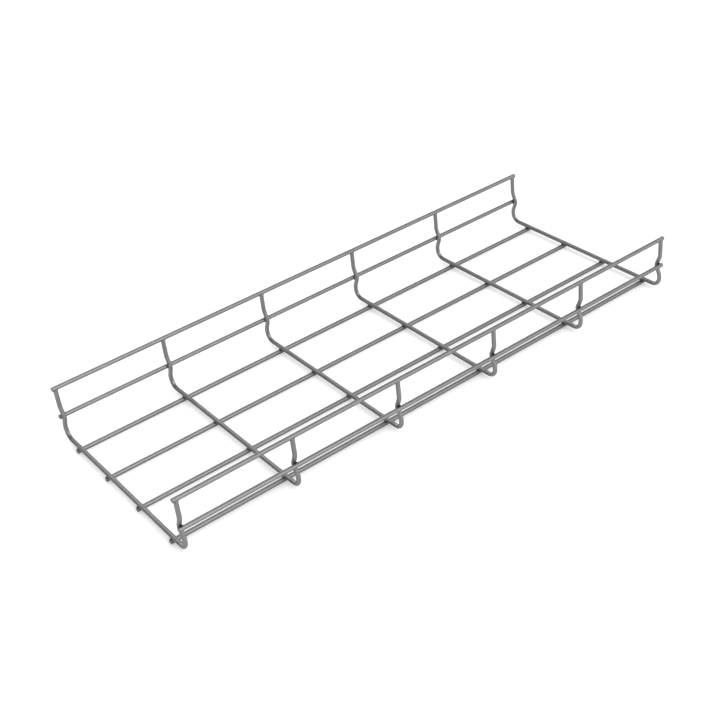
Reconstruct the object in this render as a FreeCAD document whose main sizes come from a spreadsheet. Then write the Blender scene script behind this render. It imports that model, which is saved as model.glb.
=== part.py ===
"""Wire mesh cable basket: a U-shaped tray of round steel wire, welded at every crossing.

Frame, in millimetres: +X along the tray, +Y across it, +Z up. The origin is under the middle of
the tray, on the level surface that the floor wires rest on.

Six bent cross wires make the U. Four floor wires lie under them, one side wire is welded into the
kink on the outside of each wall, and one top rail is butt welded onto the wire tips of each wall.
The wire is round. Its section is drawn with sixteen sides, their corners on the real circle and one
corner straight up, so that every outside size is the round wire's own.
"""

import FreeCAD, Part
import math
import os
import Sketcher

V = FreeCAD.Vector

# Driving sizes: alias and value. Angles are in degrees, everything else in millimetres.
SIZES = [
    ("wire_diameter", 3.75),
    ("wire_sides", 16),
    ("cross_count", 6),
    ("cross_pitch", 100.0),
    ("floor_count", 4),
    ("floor_pitch", 49.5),
    ("end_overhang", 3.0),
    ("end_chamfer", 0.3),
    ("outside_width", 192.4),
    ("overall_height", 55.1),
    ("side_wire_height", 26.1),
    ("corner_radius", 8.0),
    ("wall_bend_radius", 10.0),
    ("kink_radius", 6.0),
    ("flank_angle", 22.8),
    ("weld_set_down", 0.25),
    ("tip_weld_depth", 0.6),
]

# Sizes that follow from the driving ones: alias and formula.
DERIVED = [
    ("wire_radius", "=wire_diameter / 2"),
    ("seat_distance", "=wire_diameter - weld_set_down"),
    ("cross_axis_height", "=wire_radius + seat_distance"),
    ("wall_offset", "=outside_width / 2 - wire_radius"),
    ("kink_offset", "=wall_offset - seat_distance"),
    ("rail_axis_height", "=overall_height - wire_radius"),
    ("tip_height", "=rail_axis_height - wire_radius + tip_weld_depth"),
    ("mesh_length", "=cross_pitch * (cross_count - 1)"),
    ("wire_length", "=mesh_length + 2 * end_overhang"),
]

# Places of a point on a sketch element, and the two axes, as the sketcher numbers them.
START, END, CENTRE = range(1, 4)
LEVEL_AXIS, UPRIGHT_AXIS = range(-1, -3, -1)


def make_sheet(doc):
    """Driving and derived sizes in one sheet, each cell with its own alias."""
    sheet = doc.addObject("Spreadsheet::Sheet", "Sizes")
    for row, (alias, value) in enumerate(SIZES + DERIVED, start=1):
        sheet.set(f"A{row}", alias)
        sheet.set(f"B{row}", str(value))
        sheet.setAlias(f"B{row}", alias)
    doc.recompute()
    return sheet


def origin_plane(body, role):
    """One of the body's own three origin planes."""
    return next(item for item in body.Origin.OriginFeatures if item.Role == role)


def flat_sketch(body, name, role):
    """An empty sketch on one of the body's origin planes."""
    sketch = body.newObject("Sketcher::SketchObject", name)
    sketch.AttachmentSupport = [(origin_plane(body, role), "")]
    sketch.MapMode = "FlatFace"
    return sketch


def bind(sketch, constraint, name, formula):
    """Add a constraint, give it a name and tie it to a formula of the sheet."""
    index = sketch.addConstraint(constraint)
    sketch.renameConstraint(index, name)
    sketch.setExpression(f"Constraints.{name}", formula)


def wire_section(body, name, role, height_formula, height):
    """The wire's many-sided section, centred on the plane's upright axis at the given height."""
    sizes = body.Document.Sizes
    sketch = flat_sketch(body, name, role)
    centre = V(0, height, 0)
    count = int(sizes.wire_sides)
    turns = [2 * math.pi * corner / count for corner in range(count + 1)]
    corners = [centre + V(math.sin(turn), math.cos(turn), 0) * sizes.wire_radius for turn in turns]
    round_wire = sketch.addGeometry(Part.Circle(centre, V(0, 0, 1), sizes.wire_radius), True)
    sides = [sketch.addGeometry(Part.LineSegment(first, last), False)
             for first, last in zip(corners, corners[1:])]
    for side, following in zip(sides, sides[1:] + sides[:1]):
        sketch.addConstraint(Sketcher.Constraint("Coincident", side, END, following, START))
        sketch.addConstraint(Sketcher.Constraint("PointOnObject", side, START, round_wire))
    for side in sides[1:]:
        sketch.addConstraint(Sketcher.Constraint("Equal", sides[0], side))
    upright = Sketcher.Constraint("PointOnObject", round_wire, CENTRE, UPRIGHT_AXIS)
    top_corner = Sketcher.Constraint("PointOnObject", sides[0], START, UPRIGHT_AXIS)
    sketch.addConstraint([upright, top_corner])
    bind(sketch, Sketcher.Constraint("Diameter", round_wire, sizes.wire_diameter), "diameter",
         "Sizes.wire_diameter")
    if height_formula:
        at_height = Sketcher.Constraint("DistanceY", -1, START, round_wire, CENTRE, height)
        bind(sketch, at_height, "height", height_formula)
    else:
        level = Sketcher.Constraint("PointOnObject", round_wire, CENTRE, LEVEL_AXIS)
        sketch.addConstraint(level)
    return sketch


def half_profile(sizes):
    """Lines and arcs of half a cross wire's centre line, from mid floor to the tip of the wall.

    The wall starts upright, leans in to the kink that holds the side wire, and leans out again.
    Returned as drawn in the plane across the tray: first number outwards, second number up.
    """
    angle = math.radians(sizes.flank_angle)
    wall = sizes.wall_offset
    floor = sizes.cross_axis_height
    corner = sizes.corner_radius
    bend = sizes.wall_bend_radius
    kink = sizes.kink_radius
    middle = sizes.side_wire_height
    between = bend + kink - sizes.seat_distance
    reach = (bend + kink - between * math.cos(angle)) / math.sin(angle)
    kink_centre = V(sizes.kink_offset + kink, middle, 0)
    low_centre = V(wall - bend, middle - reach, 0)
    high_centre = V(wall - bend, middle + reach, 0)
    lean = V(math.cos(angle), math.sin(angle), 0)
    mirrored = V(lean.x, -lean.y, 0)

    def arc(centre, radius, first, last):
        return Part.ArcOfCircle(Part.Circle(centre, V(0, 0, 1), radius), first, last)

    return [
        Part.LineSegment(V(0, floor, 0), V(wall - corner, floor, 0)),
        arc(V(wall - corner, floor + corner, 0), corner, -math.pi / 2, 0),
        Part.LineSegment(V(wall, floor + corner, 0), V(wall, middle - reach, 0)),
        arc(low_centre, bend, 0, angle),
        Part.LineSegment(low_centre + lean * bend, kink_centre - lean * kink),
        arc(kink_centre, kink, math.pi - angle, math.pi + angle),
        Part.LineSegment(kink_centre - mirrored * kink, high_centre + mirrored * bend),
        arc(high_centre, bend, -angle, 0),
        Part.LineSegment(V(wall, middle + reach, 0), V(wall, sizes.tip_height, 0)),
    ]


def wall_path(body):
    """Fully constrained sketch of half a cross wire's centre line."""
    sizes = body.Document.Sizes
    sketch = flat_sketch(body, body.Name + "Path", "YZ_Plane")
    elements = sketch.addGeometry(half_profile(sizes), False)
    floor, corner, riser, low_bend, low_flank, kink, high_flank, high_bend, upright = elements
    joints = [
        (floor, END, corner, START),
        (corner, END, riser, START),
        (riser, END, low_bend, START),
        (low_bend, END, low_flank, START),
        (low_flank, END, kink, END),
        (kink, START, high_flank, START),
        (high_flank, END, high_bend, START),
        (high_bend, END, upright, START),
    ]
    for joint in joints:
        sketch.addConstraint(Sketcher.Constraint("Tangent", *joint))
    sketch.addConstraint(Sketcher.Constraint("Horizontal", floor))
    sketch.addConstraint(Sketcher.Constraint("Vertical", riser))
    sketch.addConstraint(Sketcher.Constraint("Vertical", upright))
    sketch.addConstraint(Sketcher.Constraint("PointOnObject", floor, START, UPRIGHT_AXIS))
    sketch.addConstraint(Sketcher.Constraint("Equal", low_bend, high_bend))
    flank = math.radians(sizes.flank_angle)
    named = [
        ("DistanceY", (-1, START, floor, START, sizes.cross_axis_height), "floor_height",
         "Sizes.cross_axis_height"),
        ("DistanceX", (-1, START, riser, START, sizes.wall_offset), "riser_offset",
         "Sizes.wall_offset"),
        ("DistanceX", (-1, START, upright, END, sizes.wall_offset), "upright_offset",
         "Sizes.wall_offset"),
        ("DistanceY", (-1, START, upright, END, sizes.tip_height), "tip_height",
         "Sizes.tip_height"),
        ("Radius", (corner, sizes.corner_radius), "corner_radius", "Sizes.corner_radius"),
        ("Radius", (low_bend, sizes.wall_bend_radius), "bend_radius", "Sizes.wall_bend_radius"),
        ("Radius", (kink, sizes.kink_radius), "kink_radius", "Sizes.kink_radius"),
        ("DistanceX", (-1, START, kink, CENTRE, sizes.kink_offset + sizes.kink_radius),
         "kink_offset", "Sizes.kink_offset + Sizes.kink_radius"),
        ("DistanceY", (-1, START, kink, CENTRE, sizes.side_wire_height), "kink_height",
         "Sizes.side_wire_height"),
        ("Angle", (low_flank, math.pi / 2 + flank), "low_flank", "(90 + Sizes.flank_angle) * 1 deg"),
        ("Angle", (high_flank, math.pi / 2 - flank), "high_flank",
         "(90 - Sizes.flank_angle) * 1 deg"),
    ]
    for kind, arguments, name, formula in named:
        bind(sketch, Sketcher.Constraint(kind, *arguments), name, formula)
    return sketch


def cross_wire_body(doc, index):
    """One bent cross wire, its two halves mirrored about the middle of the floor."""
    sizes = doc.Sizes
    body = doc.addObject("PartDesign::Body", f"BentWire{index + 1}")
    section = wire_section(body, body.Name + "Section", "XZ_Plane", "Sizes.cross_axis_height",
                           sizes.cross_axis_height)
    path = wall_path(body)
    pipe = body.newObject("PartDesign::AdditivePipe", body.Name + "Half")
    pipe.Profile = section
    pipe.Spine = (path, [""])
    both = body.newObject("PartDesign::Mirrored", body.Name + "Both")
    both.Originals = [pipe]
    both.MirrorPlane = (origin_plane(body, "XZ_Plane"), [""])
    body.Tip = both
    body.setExpression("Placement.Base.x",
                       f"Sizes.cross_pitch * ({index} - (Sizes.cross_count - 1) / 2)")
    return body


def straight_wire_body(doc, name, offset_formula, height_formula):
    """One straight wire along the tray, with its two sheared ends lightly chamfered."""
    sizes = doc.Sizes
    body = doc.addObject("PartDesign::Body", name)
    section = wire_section(body, name + "Section", "YZ_Plane", None, 0)
    rod = body.newObject("PartDesign::Pad", name + "Rod")
    rod.Profile = section
    rod.Midplane = True
    rod.setExpression("Length", "Sizes.wire_length")
    doc.recompute()
    rims = [f"Edge{number}" for number, edge in enumerate(rod.Shape.Edges, start=1)
            if edge.BoundBox.XLength < sizes.end_chamfer]
    ends = body.newObject("PartDesign::Chamfer", name + "Ends")
    ends.Base = (rod, rims)
    ends.setExpression("Size", "Sizes.end_chamfer")
    body.Tip = ends
    body.setExpression("Placement.Base.y", offset_formula)
    body.setExpression("Placement.Base.z", height_formula)
    return body


def cut_piece(doc, label, base, tool):
    """The finished piece: the base with a seat cut where the wires of the tool are welded to it."""
    piece = doc.addObject("Part::Cut", "Piece_" + label)
    piece.Base = base
    piece.Tool = tool
    piece.Label = label
    return piece


def bundle(doc, name, members):
    """Several wires together, to cut their seats in one step."""
    group = doc.addObject("Part::Compound", name)
    group.Links = members
    return group


def top_rails(doc):
    """The two rails along the top of the walls, whole along their length."""
    rails = []
    for label, side in (("top_rail_left", 1), ("top_rail_right", -1)):
        rail = straight_wire_body(doc, "Rail" + label[9:].title(), f"{side} * Sizes.wall_offset",
                                  "Sizes.rail_axis_height")
        rail.Label = label
        rails.append(rail)
    return rails


def cross_wires(doc, rails):
    """The bent cross wires, their tips hollowed to fit the round of the rails."""
    both_rails = bundle(doc, "BothRails", rails)
    blanks = [cross_wire_body(doc, index) for index in range(int(doc.Sizes.cross_count))]
    pieces = [cut_piece(doc, f"cross_wire_{index + 1}", blank, both_rails)
              for index, blank in enumerate(blanks)]
    return blanks, pieces


def floor_wires(doc, blanks):
    """The straight wires under the floor, each with a shallow seat under every cross wire."""
    pieces = []
    for index in range(int(doc.Sizes.floor_count)):
        offset = f"Sizes.floor_pitch * ((Sizes.floor_count - 1) / 2 - {index})"
        wire = straight_wire_body(doc, f"FloorRod{index + 1}", offset, "Sizes.wire_radius")
        pieces.append(cut_piece(doc, f"floor_wire_{index + 1}", wire, blanks))
    return pieces


def side_wires(doc, blanks):
    """The straight wires that lie in the kinks, flush with the outside of the walls."""
    pieces = []
    for label, side in (("side_wire_left", 1), ("side_wire_right", -1)):
        wire = straight_wire_body(doc, "Side" + label[10:].title(), f"{side} * Sizes.wall_offset",
                                  "Sizes.side_wire_height")
        pieces.append(cut_piece(doc, label, wire, blanks))
    return pieces


def check(doc, pieces):
    """Stop if any object failed or any finished piece isn't one valid solid."""
    for item in doc.Objects:
        if "Invalid" in item.State or "Error" in item.State:
            raise RuntimeError(f"{item.Name} failed: {item.State}")
    for piece in pieces:
        shape = piece.Shape
        if shape.isNull() or not shape.isValid() or len(shape.Solids) != 1:
            raise RuntimeError(f"{piece.Label} isn't one valid solid")


def main():
    """Build every wire of the basket and write one file for each."""
    os.makedirs("parts", exist_ok=True)
    doc = FreeCAD.newDocument("CableBasket")
    make_sheet(doc)
    rails = top_rails(doc)
    blanks, crosses = cross_wires(doc, rails)
    all_blanks = bundle(doc, "AllBentWires", blanks)
    pieces = crosses + floor_wires(doc, all_blanks) + side_wires(doc, all_blanks) + rails
    doc.recompute()
    check(doc, pieces)
    for piece in pieces:
        piece.Shape.exportStep(os.path.join("parts", piece.Label + ".step"))
        box = piece.Shape.BoundBox
        print(f"{piece.Label}: {piece.Shape.Volume:.1f} mm3, x {box.XMin:.2f} to {box.XMax:.2f}, "
              f"y {box.YMin:.2f} to {box.YMax:.2f}, z {box.ZMin:.2f} to {box.ZMax:.2f}")


main()
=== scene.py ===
"""Looks of the wire mesh cable basket: round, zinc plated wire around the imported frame.

Lengths are in metres and in the frame's own axes: +X along the tray, +Y across it, +Z up.
"""

import logging
import math
from abc import ABC, abstractmethod
from dataclasses import dataclass
from typing import Iterable

import bpy
from mathutils import Matrix, Vector


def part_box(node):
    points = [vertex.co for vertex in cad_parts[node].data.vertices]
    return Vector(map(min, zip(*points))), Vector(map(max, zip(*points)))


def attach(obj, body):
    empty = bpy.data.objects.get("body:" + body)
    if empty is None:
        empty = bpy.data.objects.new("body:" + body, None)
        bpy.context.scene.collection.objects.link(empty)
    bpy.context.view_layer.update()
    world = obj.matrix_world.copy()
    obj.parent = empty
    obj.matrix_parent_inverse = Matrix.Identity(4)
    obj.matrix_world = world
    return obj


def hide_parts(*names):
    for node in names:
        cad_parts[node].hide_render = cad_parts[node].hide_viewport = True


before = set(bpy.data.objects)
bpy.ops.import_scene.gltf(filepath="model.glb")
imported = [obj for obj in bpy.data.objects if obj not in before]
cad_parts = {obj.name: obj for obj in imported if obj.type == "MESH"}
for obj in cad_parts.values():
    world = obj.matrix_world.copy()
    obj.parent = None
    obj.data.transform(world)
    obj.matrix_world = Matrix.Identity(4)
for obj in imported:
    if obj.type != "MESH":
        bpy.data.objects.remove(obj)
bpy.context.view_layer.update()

log = logging.getLogger("cable_basket")

MM = 0.001
DECIMETRE = 0.1
CROSS_WIRES = tuple(sorted(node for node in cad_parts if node.startswith("cross_wire_")))
FLOOR_WIRES = tuple(sorted(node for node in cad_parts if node.startswith("floor_wire_")))
SIDE_WIRES = ("side_wire_left", "side_wire_right")
TOP_RAILS = ("top_rail_left", "top_rail_right")
# Weld beads are a darker grey: partly the weld metal's own tone, partly painted shade for the dark spots
# where wires cross.
WELD_COLOUR_WITH_PAINTED_SHADE = (0.13, 0.132, 0.13)
WELD_ROUGHNESS = 0.55


class Mode:
    """Edit mode of one mesh object, for use in a with statement."""

    def __init__(self, piece: bpy.types.Object) -> None:
        """Keep the object that is edited."""
        self.piece = piece

    def __enter__(self) -> bpy.types.Object:
        """Enter edit mode and hand back the object."""
        bpy.ops.object.mode_set(mode="EDIT")
        return self.piece

    def __exit__(self, *error: object) -> None:
        """Leave edit mode."""
        bpy.ops.object.mode_set(mode="OBJECT")


def only(piece: bpy.types.Object) -> None:
    """Make one object the only selected one, and the active one.

    Args:
        piece: The object that the next operators act on.
    """
    bpy.ops.object.select_all(action="DESELECT")
    piece.select_set(True)
    bpy.context.view_layer.objects.active = piece


def settle(piece: bpy.types.Object) -> None:
    """Put a piece's place into its mesh, so that its object sits at the origin."""
    only(piece)
    bpy.ops.object.transform_apply(location=True, rotation=True, scale=True)


def copy_of(piece: bpy.types.Object, name: str, shift: Vector) -> bpy.types.Object:
    """Copy a finished piece, with a mesh of its own that holds the copy's shift.

    Args:
        piece: The piece to copy.
        name: The copy's name.
        shift: How far the copy lies from the piece.

    Returns:
        The copy.
    """
    only(piece)
    bpy.ops.object.duplicate_move(TRANSFORM_OT_translate={"value": shift})
    copy = bpy.context.object
    copy.name = name
    copy.data.name = name
    settle(copy)
    return copy


@dataclass(frozen=True)
class WireStock:
    """The round wire that every piece is cut from."""

    radius: float
    sides: int = 36
    end_chamfer: float = 0.3 * MM
    smooth_angle: float = math.radians(40)

    @classmethod
    def from_frame(cls) -> "WireStock":
        """Take the wire's radius from the frame's top rail."""
        low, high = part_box(TOP_RAILS[0])
        return cls(radius=(high.z - low.z) / 2)

    def ring(self, name: str, place: Vector, turn: tuple[float, float, float]) -> bpy.types.Object:
        """Add one open ring of the wire's outline.

        Args:
            name: The piece's name.
            place: The ring's centre.
            turn: The ring's rotation, in radians.

        Returns:
            The new object, its place and rotation already in its mesh.
        """
        bpy.ops.object.select_all(action="DESELECT")
        bpy.ops.mesh.primitive_circle_add(
            vertices=self.sides, radius=self.radius, fill_type="NOTHING", location=place, rotation=turn
        )
        piece = bpy.context.object
        piece.name = name
        piece.data.name = name
        settle(piece)
        return piece

    def close_end(self, outwards: Vector) -> None:
        """Chamfer and cap the selected end ring, in edit mode.

        Args:
            outwards: Unit direction out of the end.
        """
        step = outwards * self.end_chamfer
        shrink = 1 - self.end_chamfer / self.radius
        bpy.ops.mesh.extrude_region_move(TRANSFORM_OT_translate={"value": step})
        bpy.ops.transform.resize(value=(shrink, shrink, shrink))
        bpy.ops.mesh.edge_face_add()

    def finish(self, piece: bpy.types.Object) -> None:
        """Turn all faces outwards and shade the round of the wire smooth.

        Args:
            piece: The wire's object.
        """
        only(piece)
        with Mode(piece):
            bpy.ops.mesh.select_all(action="SELECT")
            bpy.ops.mesh.normals_make_consistent(inside=False)
        bpy.ops.object.shade_smooth_by_angle(angle=self.smooth_angle)


def unroll(piece: bpy.types.Object, sides: int) -> None:
    """Give a wire made ring by ring a UV map: U along it in decimetres, V once round it.

    Args:
        piece: The wire's object; its points lie ring after ring, in the order they were extruded.
        sides: The number of points in a ring.
    """
    mesh = piece.data
    rings = [mesh.vertices[first:first + sides] for first in range(0, len(mesh.vertices), sides)]
    centres = [sum((point.co for point in ring), Vector()) / sides for ring in rings]
    along = [0.0]
    for last, centre in zip(centres, centres[1:]):
        along.append(along[-1] + (centre - last).length / DECIMETRE)
    layer = mesh.uv_layers.new(name="unrolled")
    for face in mesh.polygons:
        steps = [index % sides for index in face.vertices]
        seam = 0 in steps and sides - 1 in steps
        for corner, index, step in zip(face.loop_indices, face.vertices, steps):
            turn = sides if seam and step == 0 else step
            layer.data[corner].uv = (along[index // sides], turn / sides)


def select_ring(piece: bpy.types.Object, axis: int, value: float) -> None:
    """Select the points of a mesh that lie in one plane, in object mode.

    Args:
        piece: The mesh object.
        axis: 0, 1 or 2 for the plane's normal X, Y or Z.
        value: The plane's place on that axis.
    """
    tolerance = 1e-6
    for vertex in piece.data.vertices:
        vertex.select = abs(vertex.co[axis] - value) < tolerance
    for edge in piece.data.edges:
        edge.select = all(piece.data.vertices[index].select for index in edge.vertices)
    for face in piece.data.polygons:
        face.select = False


def register(piece: bpy.types.Object, nodes: Iterable[str]) -> None:
    """Hang a finished piece on the root body, and hide the CAD nodes that it stands for.

    Args:
        piece: The finished piece.
        nodes: The CAD nodes that it replaces, if any.
    """
    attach(piece, "root")
    if nodes:
        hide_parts(*nodes)


@dataclass(frozen=True)
class ZincFinishWithPaintedShade:
    """Dull zinc plating on drawn wire: cloudy grey, with fine lines along it, and painted shade: an
    occlusion node darkens its colour in corners and where wires lie close.

    The lines are counted once round the wire. Their length is in decimetres, as the wires' UV map is.
    """

    name: str
    colour: tuple[float, float, float] = (0.230, 0.2335, 0.2317)
    cloud_share: float = 0.10
    cloud_size: float = 9 * MM
    cloud_detail: float = 3.0
    metallic: float = 1.0
    roughness: float = 0.45
    roughness_spread: float = 0.05
    line_count: float = 70.0
    line_length: float = 0.25
    line_depth: float = 0.012 * MM
    line_detail: float = 2.0
    edge_tint: float = 0.75
    # Painted shade: how far the occlusion looks, the occlusion values that give the darkest tone and no
    # darkening, and that darkest tone.
    painted_shade_reach: float = 6.0 * MM
    painted_shade_closed: float = 0.15
    painted_shade_open: float = 0.75
    painted_shade_tone: float = 0.05

    def material(self) -> bpy.types.Material:
        """Build the plating's node material.

        Returns:
            The material, named for the finish.
        """
        material = bpy.data.materials.new(self.name)
        material.use_nodes = True
        nodes = material.node_tree.nodes
        links = material.node_tree.links
        shader = nodes["Principled BSDF"]
        shader.inputs["Metallic"].default_value = self.metallic
        shader.inputs["Specular Tint"].default_value = (self.edge_tint,) * 3 + (1.0,)
        place = nodes.new("ShaderNodeTexCoord")
        cloud = self.noise(nodes, 1 / self.cloud_size, self.cloud_detail)
        links.new(place.outputs["Object"], cloud.inputs["Vector"])
        tone = self.spread(nodes, 1.0, self.cloud_share)
        links.new(cloud.outputs["Fac"], tone.inputs["Value"])
        # Painted shade: the base colour darkens where the ambient occlusion finds other wires, welds or
        # the floor close by.
        corner = nodes.new("ShaderNodeAmbientOcclusion")
        corner.inputs["Distance"].default_value = self.painted_shade_reach
        painted_shade = nodes.new("ShaderNodeMapRange")
        painted_shade.inputs["From Min"].default_value = self.painted_shade_closed
        painted_shade.inputs["From Max"].default_value = self.painted_shade_open
        painted_shade.inputs["To Min"].default_value = self.painted_shade_tone
        links.new(corner.outputs["AO"], painted_shade.inputs["Value"])
        cloud_and_painted_shade = nodes.new("ShaderNodeMath")
        cloud_and_painted_shade.operation = "MULTIPLY"
        links.new(tone.outputs["Result"], cloud_and_painted_shade.inputs[0])
        links.new(painted_shade.outputs["Result"], cloud_and_painted_shade.inputs[1])
        scaled = nodes.new("ShaderNodeVectorMath")
        scaled.operation = "SCALE"
        scaled.inputs[0].default_value = self.colour
        links.new(cloud_and_painted_shade.outputs["Value"], scaled.inputs["Scale"])
        links.new(scaled.outputs["Vector"], shader.inputs["Base Color"])
        stretch = nodes.new("ShaderNodeMapping")
        stretch.inputs["Scale"].default_value = (1 / self.line_length, self.line_count, 1.0)
        links.new(place.outputs["UV"], stretch.inputs["Vector"])
        lines = self.noise(nodes, 1.0, self.line_detail)
        links.new(stretch.outputs["Vector"], lines.inputs["Vector"])
        matt = self.spread(nodes, self.roughness, self.roughness_spread)
        links.new(lines.outputs["Fac"], matt.inputs["Value"])
        links.new(matt.outputs["Result"], shader.inputs["Roughness"])
        bump = nodes.new("ShaderNodeBump")
        bump.inputs["Distance"].default_value = self.line_depth
        links.new(lines.outputs["Fac"], bump.inputs["Height"])
        links.new(bump.outputs["Normal"], shader.inputs["Normal"])
        return material

    def noise(self, nodes: bpy.types.Nodes, scale: float, detail: float) -> bpy.types.Node:
        """Add a noise texture.

        Args:
            nodes: The node tree's nodes.
            scale: Clouds for each unit of its coordinate.
            detail: Number of finer layers.

        Returns:
            The texture's node.
        """
        texture = nodes.new("ShaderNodeTexNoise")
        texture.inputs["Scale"].default_value = scale
        texture.inputs["Detail"].default_value = detail
        return texture

    def spread(self, nodes: bpy.types.Nodes, middle: float, half: float) -> bpy.types.Node:
        """Add a node that turns 0 to 1 into a range about a middle value.

        Args:
            nodes: The node tree's nodes.
            middle: The value for an input of one half.
            half: Half the width of the range.

        Returns:
            The range's node.
        """
        map_range = nodes.new("ShaderNodeMapRange")
        map_range.inputs["To Min"].default_value = middle - half
        map_range.inputs["To Max"].default_value = middle + half
        return map_range


@dataclass(frozen=True)
class WireSet(ABC):
    """Wires of one shape: the first is modelled around its CAD node, and the others are its copies."""

    stock: WireStock
    names: tuple[str, ...]

    def build(self, plating: bpy.types.Material) -> list[bpy.types.Object]:
        """Model, copy and dress the wires of the set.

        Args:
            plating: The wires' zinc plating, with painted shade in its corners.

        Returns:
            The finished pieces.
        """
        first = self.wire(self.names[0])
        first.data.materials.append(plating)
        start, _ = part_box(self.names[0])
        pieces = [first]
        for node in self.names[1:]:
            low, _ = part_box(node)
            pieces.append(copy_of(first, f"{node}_round", low - start))
        for piece, node in zip(pieces, self.names):
            register(piece, (node,))
        return pieces

    @abstractmethod
    def wire(self, node: str) -> bpy.types.Object:
        """Model one wire around its CAD node."""


@dataclass(frozen=True)
class StraightWires(WireSet):
    """A set of straight wires that run the whole length of the tray."""

    def wire(self, node: str) -> bpy.types.Object:
        """Model one straight wire with two chamfered, cut ends.

        Args:
            node: The CAD node that the wire stands for.

        Returns:
            The finished piece.
        """
        low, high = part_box(node)
        centre = (low + high) / 2
        chamfer = self.stock.end_chamfer
        start = Vector((low.x + chamfer, centre.y, high.z - self.stock.radius))
        run = Vector((high.x - low.x - 2 * chamfer, 0, 0))
        piece = self.stock.ring(f"{node}_round", start, (0, math.pi / 2, 0))
        with Mode(piece):
            bpy.ops.mesh.select_all(action="SELECT")
            bpy.ops.mesh.extrude_region_move(TRANSFORM_OT_translate={"value": run})
            self.stock.close_end(Vector((1, 0, 0)))
        unroll(piece, self.stock.sides)
        select_ring(piece, 0, start.x)
        with Mode(piece):
            self.stock.close_end(Vector((-1, 0, 0)))
        self.stock.finish(piece)
        return piece


@dataclass(frozen=True)
class CrossWires(WireSet):
    """The bent wires that make the floor and both walls."""

    corner_radius: float = 8.0 * MM
    wall_bend_radius: float = 10.0 * MM
    kink_radius: float = 6.0 * MM
    flank_angle: float = math.radians(22.8)
    weld_set_down: float = 0.25 * MM
    degrees_per_ring: float = 5.0
    merge_distance: float = 0.01 * MM
    mirrored_line_shift: float = 0.37

    def run(self, across: float, up: float) -> None:
        """Extrude the selected ring by a distance along +Y and one along +Z, in edit mode."""
        bpy.ops.mesh.extrude_region_move(TRANSFORM_OT_translate={"value": (0, across, up)})

    def bend(self, centre: Vector, angle: float) -> None:
        """Spin the selected ring by an angle from +Y towards +Z about a point, in edit mode."""
        steps = max(2, round(math.degrees(abs(angle)) / self.degrees_per_ring))
        bpy.ops.mesh.spin(steps=steps, angle=angle, center=centre, axis=(-1, 0, 0))

    def wire(self, node: str) -> bpy.types.Object:
        """Model one bent wire: half of it from mid floor to wall tip, then its mirror image.

        Args:
            node: The CAD node that the wire stands for.

        Returns:
            The finished piece.
        """
        low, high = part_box(node)
        radius = self.stock.radius
        middle_x = (low.x + high.x) / 2
        wall = high.y - radius
        floor = low.z + radius
        seat = 2 * radius - self.weld_set_down
        side_low, side_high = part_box(SIDE_WIRES[0])
        kink_height = (side_low.z + side_high.z) / 2
        angle = self.flank_angle
        bends = self.wall_bend_radius + self.kink_radius
        reach = (bends - (bends - seat) * math.cos(angle)) / math.sin(angle)
        flank = reach * math.cos(angle) - (bends - seat) * math.sin(angle)
        riser = kink_height - reach - floor - self.corner_radius
        upright = high.z - kink_height - reach - self.stock.end_chamfer
        piece = self.stock.ring(f"{node}_round", Vector((middle_x, 0, floor)), (math.pi / 2, 0, 0))

        def axis(across: float, height: float) -> Vector:
            """Place a bend's axis in the plane of the wire."""
            return Vector((middle_x, across, height))

        with Mode(piece):
            bpy.ops.mesh.select_all(action="SELECT")
            self.run(wall - self.corner_radius, 0)
            self.bend(axis(wall - self.corner_radius, floor + self.corner_radius), math.pi / 2)
            self.run(0, riser)
            self.bend(axis(wall - self.wall_bend_radius, kink_height - reach), angle)
            self.run(-flank * math.sin(angle), flank * math.cos(angle))
            self.bend(axis(wall - seat + self.kink_radius, kink_height), -2 * angle)
            self.run(flank * math.sin(angle), flank * math.cos(angle))
            self.bend(axis(wall - self.wall_bend_radius, kink_height + reach), angle)
            self.run(0, upright)
            self.stock.close_end(Vector((0, 0, 1)))
        unroll(piece, self.stock.sides)
        mirror = piece.modifiers.new("other_half", "MIRROR")
        mirror.use_axis = (False, True, False)
        mirror.merge_threshold = self.merge_distance
        mirror.mirror_offset_u = self.mirrored_line_shift
        only(piece)
        bpy.ops.object.modifier_apply(modifier=mirror.name)
        self.stock.finish(piece)
        return piece


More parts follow.
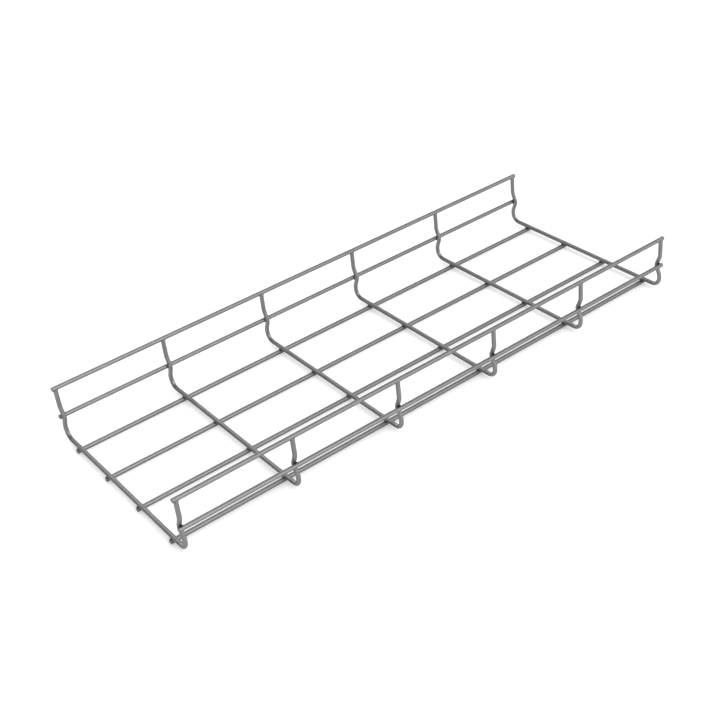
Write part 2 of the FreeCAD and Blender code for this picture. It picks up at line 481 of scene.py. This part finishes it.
@dataclass(frozen=True)
class WeldBeads:
    """The metal squeezed out of the resistance welds, one flattened bead at every joint."""

    stock: WireStock
    spread: float = 2.5 * MM
    thickness: float = 0.75 * MM
    tip_spread: float = 2.4 * MM
    unevenness: float = 0.12 * MM
    segments: int = 16
    rings: int = 10

    def build(self, finish: bpy.types.Material) -> list[bpy.types.Object]:
        """Model the beads of the floor, of the kinks and of the rails.

        Args:
            finish: The beads' material: a darker zinc grey that is partly painted shade, with painted
                shade in corners.

        Returns:
            One piece for each of the three sets.
        """
        radius = self.stock.radius
        floor_half = Vector((self.spread, self.spread, self.thickness))
        kink_half = Vector((self.spread, self.thickness, self.spread))
        tip_half = Vector((self.tip_spread, radius - self.unevenness, self.thickness))
        sets = {"floor_weld_beads": [], "kink_weld_beads": [], "rail_weld_beads": []}
        for cross_wire in CROSS_WIRES:
            low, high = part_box(cross_wire)
            middle_x = (low.x + high.x) / 2
            for wire in FLOOR_WIRES:
                wire_low, wire_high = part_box(wire)
                place = Vector((middle_x, (wire_low.y + wire_high.y) / 2, (wire_high.z + low.z) / 2))
                sets["floor_weld_beads"].append((place, floor_half))
            for side_wire, top_rail, inwards in zip(SIDE_WIRES, TOP_RAILS, (-1, 1)):
                wire_low, wire_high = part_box(side_wire)
                seat = (wire_low.y + wire_high.y) / 2 + inwards * radius
                place = Vector((middle_x, seat, (wire_low.z + wire_high.z) / 2))
                sets["kink_weld_beads"].append((place, kink_half))
                rail_low, rail_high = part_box(top_rail)
                place = Vector((middle_x, (rail_low.y + rail_high.y) / 2, rail_low.z))
                sets["rail_weld_beads"].append((place, tip_half))
        return [self.group(name, beads, finish) for name, beads in sets.items()]

    def group(self, name: str, beads: list[tuple[Vector, Vector]],
              finish: bpy.types.Material) -> bpy.types.Object:
        """Make one piece of the beads at the given places.

        Args:
            name: The piece's name.
            beads: The middle and the half size of each bead.
            finish: The beads' material: a darker zinc grey that is partly painted shade, with painted
                shade in corners.

        Returns:
            The finished piece.
        """
        made = [self.bead(f"{name}_{number}", place, half, number)
                for number, (place, half) in enumerate(beads)]
        only(made[0])
        for bead in made[1:]:
            bead.select_set(True)
        bpy.ops.object.join()
        piece = bpy.context.object
        piece.name = name
        piece.data.name = name
        bpy.ops.object.shade_smooth()
        piece.data.materials.append(finish)
        register(piece, ())
        return piece

    def bead(self, name: str, place: Vector, half: Vector, seed: int) -> bpy.types.Object:
        """Squash and roughen one ball into a bead.

        Args:
            name: The bead's name until it joins the others.
            place: The bead's middle.
            half: Its half sizes along X, Y and Z.
            seed: Number that decides its unevenness.

        Returns:
            The bead's object.
        """
        bpy.ops.object.select_all(action="DESELECT")
        bpy.ops.mesh.primitive_uv_sphere_add(
            segments=self.segments, ring_count=self.rings, radius=1.0, location=place
        )
        piece = bpy.context.object
        piece.name = name
        with Mode(piece):
            bpy.ops.mesh.select_all(action="SELECT")
            bpy.ops.transform.resize(value=half, center_override=place)
            bpy.ops.transform.vertex_random(offset=self.unevenness, normal=1.0, seed=seed)
        settle(piece)
        return piece


@dataclass(frozen=True)
class PhotoCamera:
    """The photograph's view: angles in degrees, lengths in metres, the lens in the picture's pixels."""

    azimuth: float = -34.074
    elevation: float = 33.820
    roll: float = -6.695
    right_shift: float = 15.499 * MM
    up_shift: float = -0.568 * MM
    distance: float = 1083.73 * MM
    focal_pixels: float = 1257.68
    frame_pixels: float = 720.0
    sensor_width: float = 36.0

    def add(self, centre: Vector) -> None:
        """Add the camera and make it the scene's own.

        Args:
            centre: The point that the angles turn about.
        """
        turn, rise, roll = map(math.radians, (self.azimuth, self.elevation, self.roll))
        level_share = math.cos(rise)
        back = Vector((math.sin(turn) * level_share, -math.cos(turn) * level_share, math.sin(rise)))
        level = Vector((math.cos(turn), math.sin(turn), 0))
        upright = back.cross(level)
        right = level * math.cos(roll) + upright * math.sin(roll)
        up = upright * math.cos(roll) - level * math.sin(roll)
        place = centre - right * self.right_shift - up * self.up_shift + back * self.distance
        data = bpy.data.cameras.new("photo_camera")
        data.sensor_width = self.sensor_width
        data.lens = self.focal_pixels * self.sensor_width / self.frame_pixels
        camera = bpy.data.objects.new("photo_camera", data)
        camera.matrix_world = Matrix.Translation(place) @ Matrix((right, up, back)).transposed().to_4x4()
        bpy.context.scene.collection.objects.link(camera)
        bpy.context.scene.camera = camera


@dataclass(frozen=True)
class SoftBox:
    """One rectangular lamp that faces the tray: angles in degrees, sizes in metres, power in watts."""

    name: str
    azimuth: float
    elevation: float
    width: float
    height: float
    power: float
    distance: float = 10.0

    def add(self) -> None:
        """Add the lamp, upright across its own line of sight."""
        turn, rise = math.radians(self.azimuth), math.radians(self.elevation)
        level_share = math.cos(rise)
        towards = Vector((math.cos(turn) * level_share, math.sin(turn) * level_share, math.sin(rise)))
        data = bpy.data.lights.new(self.name, "AREA")
        data.shape = "RECTANGLE"
        data.size = self.width
        data.size_y = self.height
        data.energy = self.power
        lamp = bpy.data.objects.new(self.name, data)
        lamp.location = towards * self.distance
        lamp.rotation_euler = towards.to_track_quat("Z", "Y").to_euler()
        bpy.context.scene.collection.objects.link(lamp)


@dataclass(frozen=True)
class Studio:
    """A white floor inside a ring of soft boxes that leaves the tray's near left side unlit."""

    floor_size: float = 24.0
    floor_colour: float = 0.8
    floor_glow: float = 0.312
    world_strength: float = 0.257
    boxes: tuple[SoftBox, ...] = (
        SoftBox("right_low_box", 0.0, 14.0, 7.2, 6.0, 436.0),
        SoftBox("back_right_box", 45.0, 14.0, 7.2, 6.0, 152.0),
        SoftBox("back_low_box", 90.0, 14.0, 7.2, 6.0, 332.0),
        SoftBox("back_high_box", 90.0, 45.0, 7.2, 7.2, 252.0),
        SoftBox("front_low_box", -90.0, 14.0, 7.2, 6.0, 210.0),
        SoftBox("front_high_box", -90.0, 45.0, 7.2, 7.2, 640.0),
        SoftBox("front_right_low_box", -45.0, 14.0, 7.2, 6.0, 100.0),
        SoftBox("front_right_box", -45.0, 45.0, 7.2, 7.2, 132.0),
    )

    def add(self) -> None:
        """Build floor, world and lamps."""
        self.floor()
        self.world()
        for box in self.boxes:
            box.add()

    def floor(self) -> None:
        """Add the floor: white to the camera, but still dimmed where the wires shade it."""
        bpy.ops.object.select_all(action="DESELECT")
        bpy.ops.mesh.primitive_plane_add(size=self.floor_size, location=(0, 0, 0))
        floor = bpy.context.object
        floor.name = "studio_floor"
        material = bpy.data.materials.new("studio_floor")
        material.use_nodes = True
        nodes = material.node_tree.nodes
        links = material.node_tree.links
        shader = nodes["Principled BSDF"]
        shader.inputs["Base Color"].default_value = (self.floor_colour,) * 3 + (1.0,)
        shader.inputs["Roughness"].default_value = 1.0
        shader.inputs["Specular IOR Level"].default_value = 0.0
        shader.inputs["Emission Color"].default_value = (1.0, 1.0, 1.0, 1.0)
        path = nodes.new("ShaderNodeLightPath")
        glow = nodes.new("ShaderNodeMath")
        glow.operation = "MULTIPLY"
        glow.inputs[1].default_value = self.floor_glow
        seen = self.seen_directly(nodes, links, path)
        links.new(seen, glow.inputs[0])
        links.new(glow.outputs["Value"], shader.inputs["Emission Strength"])
        floor.data.materials.append(material)

    def seen_directly(self, nodes: bpy.types.Nodes, links: bpy.types.NodeLinks,
                      path: bpy.types.Node) -> bpy.types.NodeSocket:
        """Join the rays that show a background: camera, mirror and glass rays.

        Args:
            nodes: The node tree's nodes.
            links: The node tree's links.
            path: Its Light Path node.

        Returns:
            A socket that is 1 for those rays and 0 for the others.
        """
        total = path.outputs["Is Camera Ray"]
        for name in ("Is Glossy Ray", "Is Transmission Ray"):
            either = nodes.new("ShaderNodeMath")
            either.operation = "MAXIMUM"
            links.new(total, either.inputs[0])
            links.new(path.outputs[name], either.inputs[1])
            total = either.outputs["Value"]
        return total

    def world(self) -> None:
        """Surround the tray with dim, even light."""
        world = bpy.data.worlds.new("studio_world")
        world.use_nodes = True
        background = world.node_tree.nodes["Background"]
        background.inputs["Color"].default_value = (1.0, 1.0, 1.0, 1.0)
        background.inputs["Strength"].default_value = self.world_strength
        bpy.context.scene.world = world


def main() -> None:
    """Build the wires, the studio and the camera, and log each piece's face count."""
    logging.basicConfig(level=logging.INFO, format="%(name)s: %(message)s")
    bpy.context.scene.view_settings.view_transform = "Standard"
    stock = WireStock.from_frame()
    # Both materials darken their colour as painted shade in corners; the welds' darker grey is partly
    # painted shade too.
    plating = ZincFinishWithPaintedShade("zinc_plating_with_painted_shade").material()
    weld_plating = ZincFinishWithPaintedShade("zinc_on_welds_with_painted_shade", colour=WELD_COLOUR_WITH_PAINTED_SHADE, roughness=WELD_ROUGHNESS).material()
    pieces = [
        *CrossWires(stock, CROSS_WIRES).build(plating),
        *StraightWires(stock, FLOOR_WIRES).build(plating),
        *StraightWires(stock, SIDE_WIRES).build(plating),
        *StraightWires(stock, TOP_RAILS).build(plating),
        *WeldBeads(stock).build(weld_plating),
    ]
    for piece in pieces:
        log.info("%s: %d faces", piece.name, len(piece.data.polygons))
    Studio().add()
    PhotoCamera().add(Vector((0, 0, stock.radius)))


if __name__ == "__main__":
    main()
